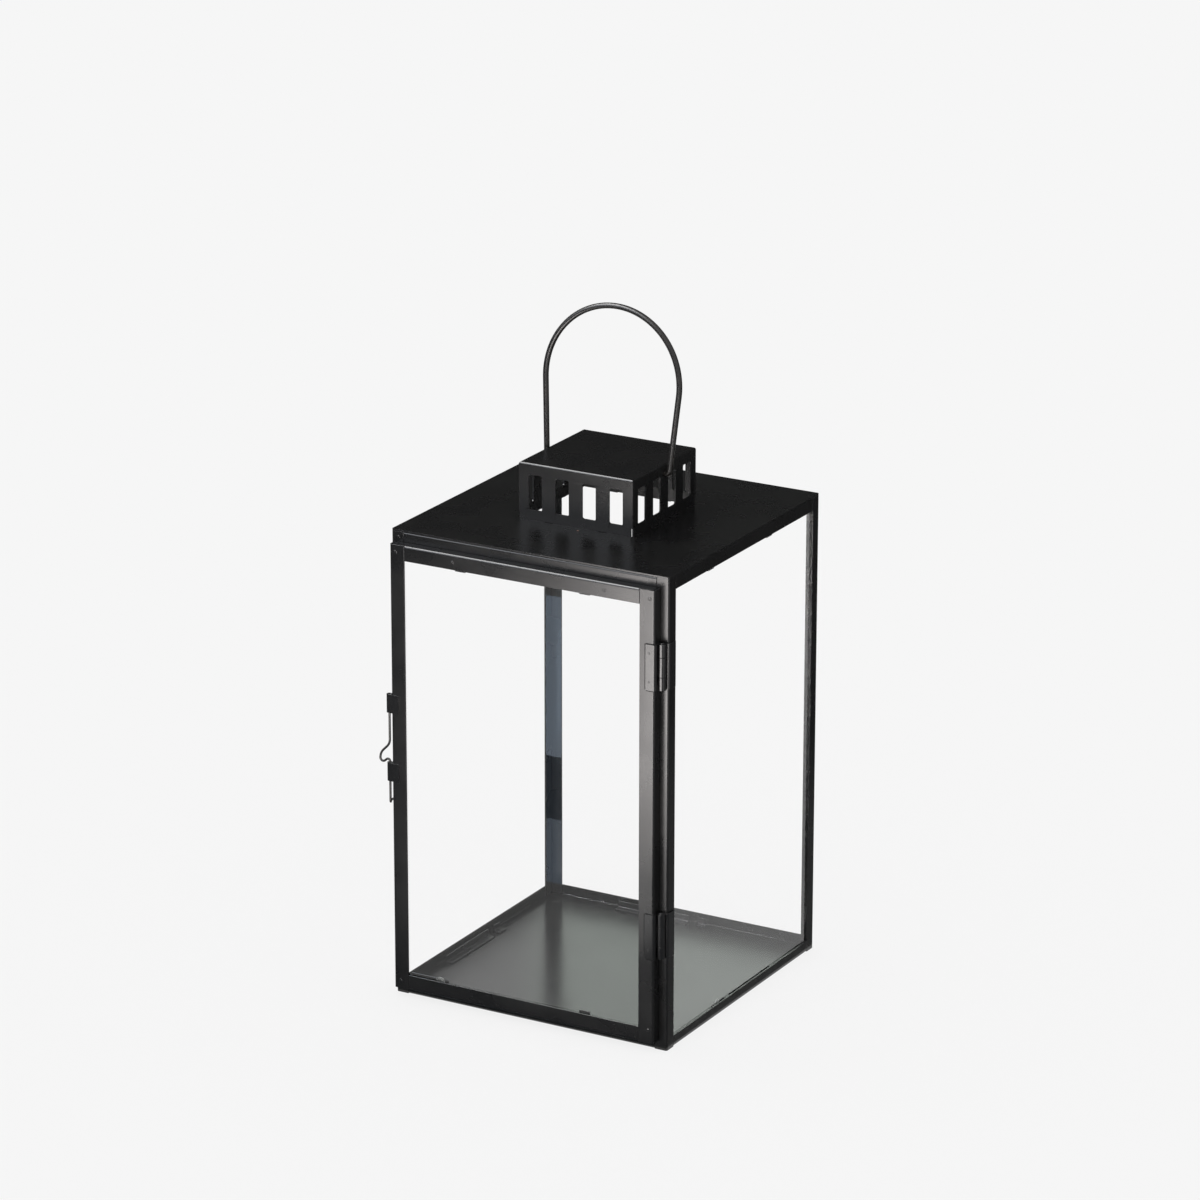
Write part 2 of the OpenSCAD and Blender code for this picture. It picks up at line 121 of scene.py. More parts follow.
def add_noise(
    tree: bpy.types.NodeTree,
    where: bpy.types.NodeSocket,
    spacing_mm: float,
    detail: float = 2.0,
    roughness: float = 0.5,
) -> bpy.types.NodeSocket:
    """Add a noise texture.

    Args:
        tree: the node tree that gets it.
        where: the coordinates that it is drawn in.
        spacing_mm: how far apart its features are.
        detail: how many finer layers it has.
        roughness: how strong the finer layers are.

    Returns:
        Its value, from 0 to 1.
    """
    scale = texture_scale(spacing_mm)
    inputs = {"Vector": where, "Scale": scale, "Detail": detail, "Roughness": roughness}
    return add_node(tree, "TexNoise", inputs).outputs["Fac"]


def add_ramp(
    tree: bpy.types.NodeTree,
    value: bpy.types.NodeSocket,
    span: tuple[float, float],
    ends: tuple[float, float] = (0.0, 1.0),
) -> bpy.types.NodeSocket:
    """Map a value from one span to another, and hold it at the ends.

    Args:
        tree: the node tree that gets the node.
        value: what is mapped.
        span: the two values that it comes in with.
        ends: what they become.

    Returns:
        The mapped value.
    """
    inputs = {"Value": value, "From Min": span[0], "From Max": span[1]}
    inputs |= {"To Min": ends[0], "To Max": ends[1]}
    return add_node(tree, "MapRange", inputs).outputs["Result"]


def add_blend(
    tree: bpy.types.NodeTree,
    share: bpy.types.NodeSocket,
    first: str | bpy.types.NodeSocket,
    second: str | bpy.types.NodeSocket,
) -> bpy.types.NodeSocket:
    """Blend two colours.

    Args:
        tree: the node tree that gets the node.
        share: how much of the second shows, from 0 to 1.
        first: a hex colour or a socket.
        second: the same.

    Returns:
        The blended colour.
    """
    start, end = (linear_rgba(side) if isinstance(side, str) else side for side in (first, second))
    return add_node(tree, "MixRGB", {"Fac": share, 1: start, 2: end}).outputs["Color"]


def add_bump(
    tree: bpy.types.NodeTree,
    height: bpy.types.NodeSocket,
    depth_mm: float,
    strength: float = 1.0,
) -> bpy.types.NodeSocket:
    """Turn a height to a bent normal.

    Args:
        tree: the node tree that gets the node.
        height: the height, from 0 to 1.
        depth_mm: how far 0 lies below 1.
        strength: how much of it shows.

    Returns:
        The bent normal.
    """
    inputs = {"Height": height, "Strength": strength, "Distance": depth_mm * MM}
    return add_node(tree, "Bump", inputs).outputs["Normal"]


def add_math(
    tree: bpy.types.NodeTree,
    operation: str,
    first: bpy.types.NodeSocket,
    second: float | bpy.types.NodeSocket = 0.0,
    use_clamp: bool = False,
) -> bpy.types.NodeSocket:
    """Calculate with one or two numbers.

    Args:
        tree: the node tree that gets the node.
        operation: what to do with them, by the math node's own name for it.
        first: the first number.
        second: the second number, if the operation takes two.
        use_clamp: keep the result between 0 and 1.

    Returns:
        The result.
    """
    inputs = {0: first, 1: second}
    node = add_node(tree, "Math", inputs, operation=operation, use_clamp=use_clamp)
    return node.outputs["Value"]


def new_material(name: str) -> tuple[bpy.types.Material, bpy.types.NodeTree]:
    """Make an empty node material.

    Args:
        name: the material's name.

    Returns:
        The material and its node tree, which holds no node yet.
    """
    material = bpy.data.materials.new(name)
    material.use_nodes = True
    material.node_tree.nodes.clear()
    return material, material.node_tree


def finish_material(tree: bpy.types.NodeTree, surface: bpy.types.NodeSocket) -> None:
    """Feed a shader to the material's or world's output."""
    kind = "OutputWorld" if isinstance(tree.id_data, bpy.types.World) else "OutputMaterial"
    add_node(tree, kind, {"Surface": surface})


def mesh_object(name: str, form: bmesh.types.BMesh, smooth: bool = True) -> bpy.types.Object:
    """Turn a bmesh into a linked object.

    Args:
        name: the object's name.
        form: the mesh, which is freed.
        smooth: shade the faces smooth.

    Returns:
        The new object.
    """
    for face in form.faces:
        face.smooth = smooth
    mesh = bpy.data.meshes.new(name)
    form.to_mesh(mesh)
    form.free()
    made = bpy.data.objects.new(name, mesh)
    bpy.context.scene.collection.objects.link(made)
    return made


def flat_object(name: str, place: Matrix, wide: float, tall: float) -> bpy.types.Object:
    """Make a flat rectangle.

    Args:
        name: the object's name.
        place: its middle, with the local Z axis square to it.
        wide: its size along the local X axis.
        tall: its size along the local Y axis.

    Returns:
        The new object.
    """
    form = bmesh.new()
    right, top = wide / 2, tall / 2
    corners = [(-right, -top), (right, -top), (right, top), (-right, top)]
    form.faces.new([form.verts.new(place @ Vector((x, y, 0))) for x, y in corners])
    return mesh_object(name, form, smooth=False)


def facing(point: Vector, outward: Vector) -> Matrix:
    """Frame at a point whose local Z looks along outward."""
    turn = outward.to_track_quat("Z", "Y")
    return Matrix.Translation(point) @ turn.to_matrix().to_4x4()


def add_revolved(
    form: bmesh.types.BMesh,
    profile_mm: list[tuple[float, float]],
    place: Matrix,
    sides: int = 20,
) -> None:
    """Add a closed turned shape to a mesh.

    Args:
        form: the mesh that gets the shape.
        profile_mm: radius and height of each ring, from the rim's foot to the middle of the top.
        place: where the shape's own Z axis and foot go.
        sides: number of steps round the axis.
    """
    rings = []
    for radius, height in profile_mm:
        if radius == 0:
            rings.append([form.verts.new(place @ Vector((0, 0, height * MM)))])
            continue
        ring = []
        for step in range(sides):
            turn = 2 * math.pi * step / sides
            spot = Vector((radius * math.cos(turn), radius * math.sin(turn), height)) * MM
            ring.append(form.verts.new(place @ spot))
        rings.append(ring)
    form.faces.new(list(reversed(rings[0])))
    for low, high in zip(rings, rings[1:]):
        for step in range(len(low)):
            after = (step + 1) % len(low)
            corners = [low[step], low[after]]
            corners += [high[0]] if len(high) == 1 else [high[after], high[step]]
            form.faces.new(corners)


# ---- Finishes ----


@dataclass(frozen=True)
class PowderCoatedSteel:
    """Steel sheet under a satin black powder coat, sprayed and baked.

    The melted powder leaves a shallow orange peel and a soft gloss. It is thin on the folds and
    cut edges, where it catches the light and looks a little greyer.
    """

    name: str
    colour: str = "#0f0f10"
    faded: str = "#171717"
    edge_colour: str = "#333334"
    roughness: float = 0.28
    roughness_spread: float = 0.05
    ior: float = 1.5
    # Real peel is about 0.8 mm across. It is drawn at twice that, so that it shows in a render.
    peel_mm: float = 1.6
    peel_depth_mm: float = 0.004
    cloud_mm: float = 28.0
    edge_mm: float = 0.3
    # How well the softened and the plain normal agree on a flat face and on an edge
    edge_span: tuple[float, float] = (0.99, 0.8)
    edge_samples: int = 4
    dust: float = 0.0
    dust_colour: str = "#6e6f6c"
    dust_mm: float = 3.5
    dust_span: tuple[float, float] = (0.45, 0.75)

    def edge_share(self, tree: bpy.types.NodeTree) -> bpy.types.NodeSocket:
        """Find the folds and cut edges, where the coat is thin.

        Args:
            tree: the node tree that gets the nodes.

        Returns:
            A share that is 1 on them and 0 on flat faces.
        """
        radius = self.edge_mm * MM
        softened = add_node(tree, "Bevel", {"Radius": radius}, samples=self.edge_samples)
        plain = add_node(tree, "NewGeometry").outputs["Normal"]
        agree = add_node(
            tree,
            "VectorMath",
            {0: softened.outputs["Normal"], 1: plain},
            operation="DOT_PRODUCT",
        ).outputs["Value"]
        return add_ramp(tree, agree, self.edge_span)

    def build(self) -> bpy.types.Material:
        """Make the node material.

        Returns:
            The material, named after the finish.
        """
        material, tree = new_material(self.name)
        where = add_node(tree, "TexCoord").outputs["Object"]
        clouds = add_noise(tree, where, self.cloud_mm, detail=4.0)
        peel = add_noise(tree, where, self.peel_mm)
        tone = add_blend(tree, clouds, self.colour, self.faded)
        tone = add_blend(tree, self.edge_share(tree), tone, self.edge_colour)
        if self.dust > 0:
            specks = add_noise(tree, where, self.dust_mm, detail=8.0, roughness=0.75)
            film = add_ramp(tree, specks, self.dust_span, (0.0, self.dust))
            tone = add_blend(tree, film, tone, self.dust_colour)
        low, high = self.roughness - self.roughness_spread, self.roughness + self.roughness_spread
        inputs = {
            "Base Color": tone,
            "Roughness": add_ramp(tree, clouds, NOISE_SPAN, (low, high)),
            "IOR": self.ior,
            "Normal": add_bump(tree, peel, self.peel_depth_mm),
        }
        finish_material(tree, add_node(tree, "BsdfPrincipled", inputs).outputs["BSDF"])
        return material


@dataclass(frozen=True)
class CoatedWire:
    """Drawn steel wire under a thin black coat.

    Drawing leaves faint lines along the wire, and handling leaves it a little brown and uneven.
    """

    name: str
    colour: str = "#161413"
    worn: str = "#28231f"
    roughness_span: tuple[float, float] = (0.25, 0.38)
    ior: float = 1.5
    patch_mm: float = 9.0
    worn_span: tuple[float, float] = (0.45, 0.7)
    grain_mm: float = 0.9
    grain_depth_mm: float = 0.006

    def build(self) -> bpy.types.Material:
        """Make the node material.

        Returns:
            The material, named after the finish.
        """
        material, tree = new_material(self.name)
        where = add_node(tree, "TexCoord").outputs["Object"]
        patches = add_noise(tree, where, self.patch_mm, detail=5.0)
        grain = add_noise(tree, where, self.grain_mm, detail=3.0)
        worn = add_ramp(tree, patches, self.worn_span)
        inputs = {
            "Base Color": add_blend(tree, worn, self.colour, self.worn),
            "Roughness": add_ramp(tree, grain, NOISE_SPAN, self.roughness_span),
            "IOR": self.ior,
            "Normal": add_bump(tree, grain, self.grain_depth_mm),
        }
        finish_material(tree, add_node(tree, "BsdfPrincipled", inputs).outputs["BSDF"])
        return material


@dataclass(frozen=True)
class FloatGlass:
    """Clear float glass of 2 mm, cut and ground at its edges.

    The faces are flat, almost without colour and mirror-smooth. So thin a pane hardly shifts what
    is behind it, so light passes straight on. It mirrors the room on the side that faces out, and
    what is inside the lantern isn't doubled in it.
    """

    name: str
    colour: str = "#ffffff"
    ior: float = 1.5
    roughness: float = 0.0

    def outer_side(self, tree: bpy.types.NodeTree) -> bpy.types.NodeSocket:
        """Find the outer faces of the panes.

        Args:
            tree: the node tree that gets the nodes.

        Returns:
            A share that is 1 where an outer face is seen from outside, and 0 elsewhere.
        """
        where = add_node(tree, "TexCoord").outputs["Object"]
        surface = add_node(tree, "NewGeometry").outputs
        level = add_node(
            tree, "VectorMath", {0: where, 1: (1.0, 1.0, 0.0)}, operation="MULTIPLY"
        ).outputs["Vector"]
        normal = add_node(
            tree,
            "VectorTransform",
            {"Vector": surface["Normal"]},
            vector_type="NORMAL",
            convert_from="WORLD",
            convert_to="OBJECT",
        ).outputs["Vector"]
        away = add_node(
            tree, "VectorMath", {0: normal, 1: level}, operation="DOT_PRODUCT"
        ).outputs["Value"]
        outward = add_math(tree, "GREATER_THAN", away)
        return add_math(tree, "SUBTRACT", outward, surface["Backfacing"], use_clamp=True)

    def build(self) -> bpy.types.Material:
        """Make the node material.

        Returns:
            The material, named after the finish.
        """
        material, tree = new_material(self.name)
        fresnel = add_node(tree, "Fresnel", {"IOR": self.ior}).outputs["Fac"]
        share = add_math(tree, "MULTIPLY", self.outer_side(tree), fresnel)
        passing = add_node(
            tree, "BsdfTransparent", {"Color": linear_rgba(self.colour)}
        ).outputs["BSDF"]
        mirror = add_node(
            tree,
            "BsdfAnisotropic",
            {"Color": (1.0, 1.0, 1.0, 1.0), "Roughness": self.roughness},
        ).outputs["BSDF"]
        both = add_node(tree, "MixShader", {"Fac": share, 1: passing, 2: mirror})
        finish_material(tree, both.outputs["Shader"])
        return material


@dataclass(frozen=True)
class SiliconeGlue:
    """Dabs of clear silicone, squeezed from a tube and left to cure: milky and soft-edged."""

    name: str
    colour: str = "#c9cdca"
    roughness: float = 0.35
    ior: float = 1.41
    clearness: float = 0.45
    lump_mm: float = 1.2
    lump_depth_mm: float = 0.1
    lump_strength: float = 0.6

    def build(self) -> bpy.types.Material:
        """Make the node material.

        Returns:
            The material, named after the finish.
        """
        material, tree = new_material(self.name)
        where = add_node(tree, "TexCoord").outputs["Object"]
        lumps = add_noise(tree, where, self.lump_mm)
        inputs = {
            "Base Color": linear_rgba(self.colour),
            "Roughness": self.roughness,
            "IOR": self.ior,
            "Transmission Weight": self.clearness,
            "Normal": add_bump(tree, lumps, self.lump_depth_mm, self.lump_strength),
        }
        finish_material(tree, add_node(tree, "BsdfPrincipled", inputs).outputs["BSDF"])
        return material


@dataclass(frozen=True)
class BareSteelSpeck:
    """A pinhole in the coat, where the steel has begun to rust: dull brown."""

    name: str
    colour: str = "#7a4a2c"
    dark: str = "#3a241a"
    roughness: float = 0.8
    patch_mm: float = 0.5

    def build(self) -> bpy.types.Material:
        """Make the node material.

        Returns:
            The material, named after the finish.
        """
        material, tree = new_material(self.name)
        where = add_node(tree, "TexCoord").outputs["Object"]
        patches = add_noise(tree, where, self.patch_mm)
        tone = add_blend(tree, patches, self.colour, self.dark)
        inputs = {"Base Color": tone, "Roughness": self.roughness}
        finish_material(tree, add_node(tree, "BsdfPrincipled", inputs).outputs["BSDF"])
        return material


class Finish(Enum):
    """The finishes that the lantern has."""

    SHEET = PowderCoatedSteel("satin_black_powder_coat")
    TRAY = PowderCoatedSteel(
        "tray_black_powder_coat",
        roughness=0.2,
        roughness_spread=0.02,
        faded="#1a1b1a",
        dust=0.12,
        dust_mm=7.0,
        peel_depth_mm=0.0002,
    )
    HINGE = PowderCoatedSteel(
        "hinge_black_paint", colour="#121213", faded="#1c1c1d", roughness=0.22, edge_mm=0.2
    )
    # Near black and matt, with a low IOR that keeps it from mirroring: painted shade for the gaps
    # round the hinge leaves and at the door's corners
    SEAM = PowderCoatedSteel(
        "matt_black_painted_shade", colour="#050505", faded="#090909", roughness=0.8, ior=1.25
    )
    WIRE = CoatedWire("black_coated_wire")
    GLASS = FloatGlass("clear_float_glass")
    GLUE = SiliconeGlue("clear_silicone_glue")
    SPECK = BareSteelSpeck("rust_speck")

    def material(self) -> bpy.types.Material:
        """The finish's material, made on first use."""
        return bpy.data.materials.get(self.value.name) or self.value.build()


# ---- The lantern ----


@dataclass
class CadDress:
    """Gives CAD nodes their finish, and softens their cut edges with modifiers."""

    nodes: dict[str, bpy.types.Object]
    edge_mm: float = 0.12
    glass_edge_mm: float = 0.25
    # Points nearer than this are one point
    weld_mm: float = 0.002
    # Folds sharper than this are edges, and faces that differ by less than flat_deg are one face
    sharp_deg: float = 40.0
    flat_deg: float = 0.5

    def dress(self, name: str, finish: Finish) -> None:
        """Assign a node's finish and soften its edges. A wire has no cut edge that shows.

        Args:
            name: the CAD node's name.
            finish: what it is made of.
        """
        node = self.nodes[name]
        for slot in node.material_slots:
            slot.material = finish.material()
        if finish is not Finish.WIRE:
            self.soften(node, finish is Finish.GLASS)
        LOG.info("dressed %s with %s", name, finish.name.lower())

    def soften(self, node: bpy.types.Object, is_glass: bool) -> None:
        """Round the edges of a node with modifiers.

        Args:
            node: the CAD node.
            is_glass: it is a pane, whose ground edges are chamfers.
        """
        weld = node.modifiers.new("weld", "WELD")
        weld.merge_threshold = self.weld_mm * MM
        if node.name.startswith("post_"):
            # Slivers in a post's end faces would make the rounding of its corner stick out
            flats = node.modifiers.new("flats", "DECIMATE")
            flats.decimate_type = "DISSOLVE"
            flats.angle_limit = math.radians(self.flat_deg)
        bevel = node.modifiers.new("edges", "BEVEL")
        bevel.width = (self.glass_edge_mm if is_glass else self.edge_mm) * MM
        bevel.segments = 1 if is_glass else 2
        bevel.limit_method = "ANGLE"
        bevel.angle_limit = math.radians(self.sharp_deg)
        if not is_glass:
            node.modifiers.new("shading", "WEIGHTED_NORMAL").keep_sharp = False


@dataclass
class SpotWelds:
    """Small round marks where two layers of sheet were welded, filled with paint."""

    name: str
    body: str
    outward: Vector
    spots_mm: list[tuple[float, float, float]]
    finish: Finish = Finish.SHEET
    slot: str = "black_sheet"
    # Foot, shoulder, edge of the crater and its middle, as radius and height
    profile_mm: tuple[tuple[float, float], ...] = (
        (1.0, -0.05),
        (1.0, 0.02),
        (0.8, 0.14),
        (0.55, 0.16),
        (0.3, 0.1),
        (0.0, 0.08),
    )
    scale: float = 1.0

    def build(self) -> bpy.types.Object:
        """Make all marks of one group as one piece that rides on its body.

        Returns:
            The piece.
        """
        form = bmesh.new()
        profile = [(radius * self.scale, height * self.scale) for radius, height in self.profile_mm]
        for spot in self.spots_mm:
            add_revolved(form, profile, facing(Vector(spot) * MM, self.outward))
        piece = mesh_object(self.name, form)
        piece.data.materials.append(self.finish.material())
        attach(piece, self.body)
        LOG.info("%s: %d marks", self.name, len(self.spots_mm))
        return piece


@dataclass
class PaintedShadeBeads:
    """Painted shade: thin matt black beads along the hairline gaps where one sheet lies on another,
    dark where those gaps would lie in shade.
    """

    name: str
    body: str
    outward: Vector
    slot: str
    # Start, end, the way that the foot spreads, its width and the bead's height
    runs_mm: list[tuple[Vector, Vector, Vector, float, float]]
    # How deep the foot goes into the sheet, so that no gap shows
    sink_mm: float = 0.02

    def build(self) -> bpy.types.Object:
        """Make all beads of one group as one piece that rides on its body.

        Returns:
            The piece.
        """
        form = bmesh.new()
        sink = self.outward * self.sink_mm
        for start, end, spread, width, height in self.runs_mm:
            rings = []
            for point in (start, end):
                corners = (
                    point - sink,
                    point + spread * width - sink,
                    point + self.outward * height,
                )
                rings.append([form.verts.new(corner * MM) for corner in corners])
            first, last = rings
            form.faces.new(first)
            form.faces.new(list(reversed(last)))
            for step in range(3):
                after = (step + 1) % 3
                form.faces.new([first[after], first[step], last[step], last[after]])
        bmesh.ops.recalc_face_normals(form, faces=form.faces)
        piece = mesh_object(self.name, form, smooth=False)
        piece.data.materials.append(Finish.SEAM.material())
        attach(piece, self.body)
        LOG.info("%s: %d beads", self.name, len(self.runs_mm))
        return piece


@dataclass
class GlueDab:
    """A dab of glue between a pane and a clip: a low dome with an uneven outline."""

    name: str
    body: str
    centre_mm: tuple[float, float, float]
    outward: Vector
    size_mm: tuple[float, float, float]
    # Waves in the outline: their number, share of the radius and phase
    lobes: tuple[tuple[int, float, float], ...] = ((2, 0.16, 0.4), (3, 0.11, 1.9), (5, 0.06, 0.8))
    rings: int = 7
    sides: int = 28
    # Below 1, the dome's sides are fuller than an ellipse's
    fullness: float = 0.8

    def spot(self, lift: float, turn: float) -> Vector:
        """Find a point of the dome.

        Args:
            lift: how far up the dome, in radians.
            turn: how far round it, in radians.

        Returns:
            The point, with the foot's middle at the origin.
        """
        wide, tall, deep = (length * MM for length in self.size_mm)
        waves = (share * math.sin(count * turn + phase) for count, share, phase in self.lobes)
        swell = 1 + sum(waves)
        reach = swell * math.cos(lift) ** self.fullness / 2
        return Vector(
            (wide * reach * math.cos(turn), tall * reach * math.sin(turn), deep * math.sin(lift))
        )

    def build(self) -> bpy.types.Object:
        """Make the dab as a piece that rides on its body.

        Returns:
            The piece.
        """
        form = bmesh.new()
        place = facing(Vector(self.centre_mm) * MM, self.outward)
        turns = [2 * math.pi * step / self.sides for step in range(self.sides)]
        loops = []
        for ring in range(self.rings):
            lift = math.pi / 2 * ring / self.rings
            loops.append([form.verts.new(place @ self.spot(lift, turn)) for turn in turns])
        top = form.verts.new(place @ Vector((0, 0, self.size_mm[2] * MM)))
        form.faces.new(list(reversed(loops[0])))
        for low, high in zip(loops, loops[1:]):
            for step in range(self.sides):
                after = (step + 1) % self.sides
                form.faces.new([low[step], low[after], high[after], high[step]])
        for step in range(self.sides):
            form.faces.new([loops[-1][step], loops[-1][(step + 1) % self.sides], top])
        piece = mesh_object(self.name, form)
        piece.data.materials.append(Finish.GLUE.material())
        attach(piece, self.body)
        LOG.info("%s: dab of glue", self.name)
        return piece


@dataclass
class Lantern:
    """The whole lantern: its CAD nodes' finishes and the small pieces on them."""

    nodes: dict[str, bpy.types.Object]
    # How far a hinge's two spot welds are from the hinge's middle
    hinge_weld_mm: float = 7.5

    def finish_of(self, name: str) -> Finish:
        """Tell what a CAD node is made of.

        Args:
            name: the node's name.

        Returns:
            Its finish.
        """
        if name in ("glass_right", "glass_back", "glass_left", "door_glass"):
            return Finish.GLASS
        if name in ("latch_wire", "bail_handle"):
            return Finish.WIRE
        if name.startswith(("hinge", "latch_strap")):
            return Finish.HINGE
        return Finish.TRAY if name == "tray" else Finish.SHEET

    def dress_cad(self) -> None:
        """Give every CAD node its finish."""
        dress = CadDress(self.nodes)
        for name in sorted(self.nodes):
            dress.dress(name, self.finish_of(name))

    def add_welds(self) -> None:
        """Add the spot welds that show on the door, the front rail, the hinges and the tray."""
        door_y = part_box("door_rail_top")[0].y / MM
        rail_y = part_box("top_rail_front")[0].y / MM
        leaf_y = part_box("hinge_upper_door_leaf")[0].y / MM
        # The tray's floor is as thick as the roof plate, and lies on the ground
        roof_lo, roof_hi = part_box("roof_plate")
        floor_z = (roof_hi.z - roof_lo.z) / MM
        SpotWelds(
            "door_spot_welds",
            "door",
            FRONT,
            [
                (-74.3, door_y, 242.1),
                (-40.9, door_y, 241.8),
                (46.6, door_y, 241.8),
                (72.5, door_y, 241.6),
                (72.3, door_y, 12.0),
                (-73.8, door_y, 9.2),
            ],
        ).build()
        SpotWelds(
            "front_rail_spot_welds",
            "cage",
            FRONT,
            [(-75.9, rail_y, 248.0), (76.2, rail_y, 248.0)],
        ).build()
        for name, middle in (("upper", 206.0), ("lower", 63.0)):
            SpotWelds(
                f"hinge_{name}_spot_welds",
                "door",
                FRONT,
                [
                    (72.6, leaf_y, middle + self.hinge_weld_mm),
                    (72.6, leaf_y, middle - self.hinge_weld_mm),
                ],
                finish=Finish.HINGE,
                slot="hinge_black",
                scale=0.6,
            ).build()
        SpotWelds(
            "tray_spot_welds",
            "cage",
            UP,
            [
                (-70.3, 67.2, floor_z),
                (-52.5, 66.5, floor_z),
                (-42.8, 67.0, floor_z),
                (15.9, 63.6, floor_z),
                (52.0, 66.8, floor_z),
            ],
            finish=Finish.TRAY,
            scale=0.8,
        ).build()

    def add_painted_shade(self) -> None:
        """Add the painted shade round the hinge leaves and at the door's corner joints, as matt
        black beads.
        """
        stile_lo, stile_hi = (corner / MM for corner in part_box("door_stile_hinge"))
        rail_lo, rail_hi = (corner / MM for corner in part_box("door_rail_top"))
        for name in ("upper", "lower"):
            lo, hi = (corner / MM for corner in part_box(f"hinge_{name}_door_leaf"))
            foot = Vector((lo.x, stile_lo.y, lo.z))
            head = Vector((lo.x, stile_lo.y, hi.z))
            # Painted shade round each door leaf: to its left, below it and above it
            PaintedShadeBeads(
                f"hinge_{name}_painted_shade",
                "door",
                FRONT,
                "hinge_black",
                [
                    (foot, head, LEFT, 0.9, 0.4),
                    (foot, Vector((stile_hi.x, foot.y, foot.z)), -UP, 0.75, 0.4),
                    (head, Vector((stile_hi.x, head.y, head.z)), UP, 0.4, 0.2),
                ],
            ).build()
        latch_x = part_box("door_stile_latch")[1].x / MM
        top = [Vector((0, rail_lo.y, rail_lo.z)), Vector((0, rail_lo.y, rail_hi.z))]
        # Painted shade in the joints at the door's top corners
        PaintedShadeBeads(
            "door_corner_painted_shade",
            "door",
            FRONT,
            "black_sheet",
            [
                (top[0] + RIGHT * stile_lo.x, top[1] + RIGHT * stile_lo.x, LEFT, 0.45, 0.03),
                (top[0] + RIGHT * latch_x, top[1] + RIGHT * latch_x, RIGHT, 0.35, 0.03),
            ],
        ).build()

    def add_glue(self) -> None:
        """Add the dabs of glue beside the retaining clips."""
        pane_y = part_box("door_glass")[1].y / MM
        pane_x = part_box("glass_right")[0].x / MM
        GlueDab("door_glue_dab", "door", (-51.5, pane_y, 12.9), BACK, (5.0, 3.0, 1.3)).build()
        GlueDab(
            "right_pane_glue_dab", "cage", (pane_x, -20.6, 4.6), LEFT, (3.2, 3.6, 1.2)
        ).build()

    def add_speck(self) -> None:
        """Add the rust speck at the foot of the vent box's front wall."""
        wall_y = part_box("vent_box")[0].y / MM
        roof_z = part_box("roof_plate")[1].z / MM
        form = bmesh.new()
        profile = [(0.55, -0.05), (0.5, 0.06), (0.3, 0.12), (0.0, 0.14)]
        place = facing(Vector((3.6, wall_y - 0.25, roof_z)) * MM, Vector((0, -0.5, 1)))
        add_revolved(form, profile, place, sides=12)
        piece = mesh_object("vent_box_rust_speck", form)
        piece.data.materials.append(Finish.SPECK.material())
        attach(piece, "cage")
        LOG.info("rust speck at the vent box's foot")

    def build(self) -> None:
        """Dress the frame and add every small piece."""
        self.dress_cad()
        self.add_welds()
        self.add_painted_shade()
        self.add_glue()
        self.add_speck()


# ---- The studio ----


class Mirror(Enum):
    """Where a studio card shows."""

    PAINT = "in the soft gloss of paint"
    GLASS = "in the hard mirror of glass"


@dataclass
class StudioCard:
    """A flat card beside the lantern, out of the picture: a bright softbox or a dim flag.

    Cards only show in what the paint or the glass mirrors. The even light of the room does the
    rest.
    """

    name: str
    centre: tuple[float, float, float]
    looks_at: tuple[float, float, float]
    size: tuple[float, float]
    strength: float
    colour: str = "#ffffff"
    shows: Mirror = Mirror.PAINT

    def material(self) -> bpy.types.Material:
        """Make the card's material, which shows in one kind of mirror and on one side.

        Returns:
            The material.
        """
        material, tree = new_material(self.name)
        glow = add_node(
            tree,
            "Emission",
            {"Color": linear_rgba(self.colour), "Strength": self.strength},
        ).outputs["Emission"]
        clear = add_node(tree, "BsdfTransparent").outputs["BSDF"]
        side = add_node(tree, "NewGeometry").outputs["Backfacing"]
        sharp = add_node(tree, "LightPath").outputs["Is Singular Ray"]
        wanted = 1.0 if self.shows is Mirror.GLASS else 0.0
        wrong = add_math(tree, "ABSOLUTE", add_math(tree, "SUBTRACT", sharp, wanted))
        hidden = add_math(tree, "MAXIMUM", side, wrong)
        both = add_node(tree, "MixShader", {"Fac": hidden, 1: glow, 2: clear})
        finish_material(tree, both.outputs["Shader"])
        return material

    def build(self) -> bpy.types.Object:
        """Make the card as part of the stage.

        Returns:
            The card.
        """
        centre = Vector(self.centre)
        place = facing(centre, Vector(self.looks_at) - centre)
        card = flat_object(self.name, place, *self.size)
        card.data.materials.append(self.material())
        card.visible_camera = card.visible_transmission = card.visible_volume_scatter = False
        card.visible_shadow = card.visible_diffuse = False
        LOG.info("card %s", self.name)
        return card


